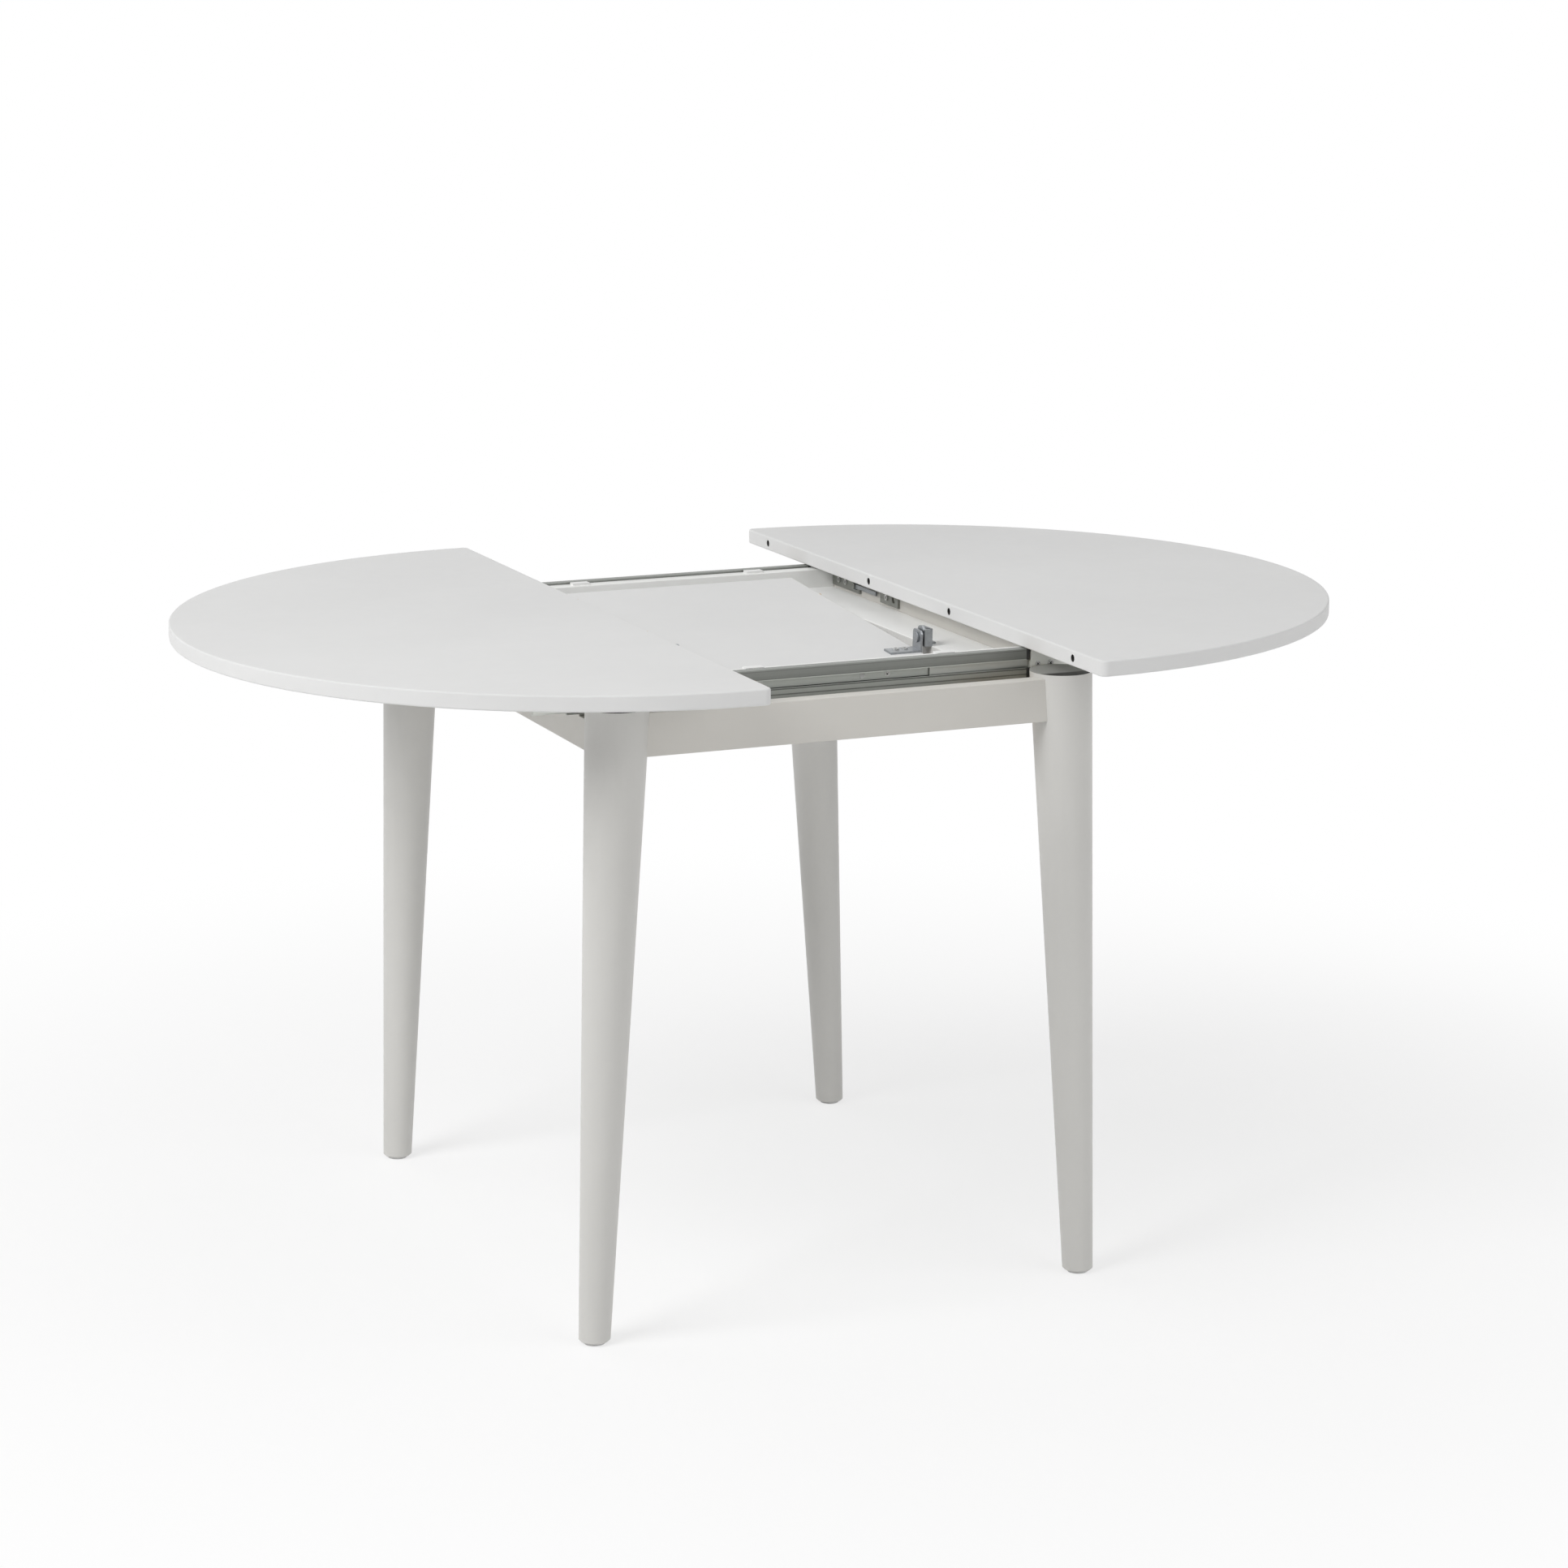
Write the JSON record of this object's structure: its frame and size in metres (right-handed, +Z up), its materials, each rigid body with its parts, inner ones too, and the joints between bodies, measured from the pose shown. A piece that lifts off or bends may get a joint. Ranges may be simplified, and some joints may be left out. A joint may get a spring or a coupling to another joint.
{
  "type": "butterfly leaf table",
  "caption": "Round extending table with half tops that slide apart on telescopic slides, a folding leaf that swings up from the well, and splayed, tapered round legs.",
  "frame": {"origin": "on the floor, midway between the cut edges of the half-open tops", "axes": "+X along the extension to the right, +Y to the back, +Z up"},
  "size_m": [1.387, 0.9998, 0.75],
  "materials": {
    "painted_top": "satin white paint",
    "painted_frame": "satin white paint",
    "raw_wood": "raw",
    "beech": "raw",
    "white_plastic": "matte",
    "zinc_slide": "zinc plated",
    "zinc_fitting": "zinc plated"
  },
  "bodies": {
    "base": {"back_apron": "painted_frame", "back_channel": "zinc_slide", "back_left_leg": "painted_frame", "back_rail": "painted_frame", "back_right_leg": "painted_frame", "catch_keeper": "zinc_fitting", "catch_plate": "zinc_fitting", "catch_screws": "zinc_fitting", "channel_screws": "zinc_fitting", "corner_blocks": "raw_wood", "foot_glides": "white_plastic", "front_apron": "painted_frame", "front_channel": "zinc_slide", "front_left_leg": "painted_frame", "front_rail": "painted_frame", "front_right_leg": "painted_frame", "glide_pads": "white_plastic", "hanger_bolts": "zinc_fitting", "leaf_pivot_pins": "zinc_fitting", "left_apron": "painted_frame", "left_cross_board": "painted_frame", "left_pivot_stand": "zinc_fitting", "leg_nuts": "zinc_fitting", "right_apron": "painted_frame", "right_cross_board": "painted_frame", "right_pivot_stand": "zinc_fitting", "stand_screws": "zinc_fitting", "stop_buttons": "white_plastic"},
    "left_half": {"left_top": "painted_top", "left_dowels": "beech", "left_runner_front": "zinc_slide", "left_runner_back": "zinc_slide", "left_runner_screws": "zinc_fitting"},
    "right_half": {"right_top": "painted_top", "right_runner_front": "zinc_slide", "right_runner_back": "zinc_slide", "right_runner_screws": "zinc_fitting"},
    "left_members": {"left_slide_front": "zinc_slide", "left_slide_back": "zinc_slide"},
    "right_members": {"right_slide_front": "zinc_slide", "right_slide_back": "zinc_slide"},
    "front_wing": {"front_wing": "painted_top", "front_wing_dowels": "beech", "front_hinge_leaves": "zinc_fitting", "front_hinge_screws": "zinc_fitting", "front_fold_pins": "zinc_fitting", "left_leaf_bracket": "zinc_fitting", "right_leaf_bracket": "zinc_fitting", "bracket_screws": "zinc_fitting"},
    "fold_links": {"fold_links": "zinc_fitting"},
    "back_wing": {"back_wing": "painted_top", "back_wing_dowels": "beech", "back_hinge_leaves": "zinc_fitting", "back_hinge_screws": "zinc_fitting", "back_fold_pins": "zinc_fitting"},
    "catch_lever": {"catch_lever": "zinc_fitting"}
  },
  "joints": [
    {"name": "left_top_slide", "type": "slide", "parent": "base", "child": "left_half", "axis": [-1, 0, 0], "range_m": [-0.14525, 0.0995]},
    {"name": "left_member_slide", "type": "slide", "parent": "base", "child": "left_members", "axis": [-1, 0, 0], "range_m": [-0.07262, 0.04975]},
    {"name": "right_top_slide", "type": "slide", "parent": "base", "child": "right_half", "axis": [1, 0, 0], "range_m": [-0.24125, 0.0035]},
    {"name": "right_member_slide", "type": "slide", "parent": "base", "child": "right_members", "axis": [1, 0, 0], "range_m": [-0.12062, 0.00175]},
    {"name": "leaf_swing", "type": "hinge", "parent": "base", "child": "front_wing", "pos_m": [0, -0.125, 0.716], "axis": [1, 0, 0], "range_deg": [0, 175.8]},
    {"name": "link_turn", "type": "hinge", "parent": "front_wing", "child": "fold_links", "pos_m": [0, -0.24461, 0.67563], "axis": [-1, 0, 0], "range_deg": [0, 90]},
    {"name": "wing_lower", "type": "hinge", "parent": "fold_links", "child": "back_wing", "pos_m": [0, -0.24421, 0.67015], "axis": [-1, 0, 0], "range_deg": [0, 90]},
    {"name": "catch_swing", "type": "hinge", "parent": "base", "child": "catch_lever", "pos_m": [0.21865, 0.211, 0.7185], "axis": [-1, 0, 0], "range_deg": [0, 8]}
  ],
  "couplings": [
    {"joint": "left_member_slide", "follows": "left_top_slide", "ratio": 0.5},
    {"joint": "right_member_slide", "follows": "right_top_slide", "ratio": 0.5},
    {"joint": "link_turn", "follows": "leaf_swing", "ratio": 0.51194}
  ]
}
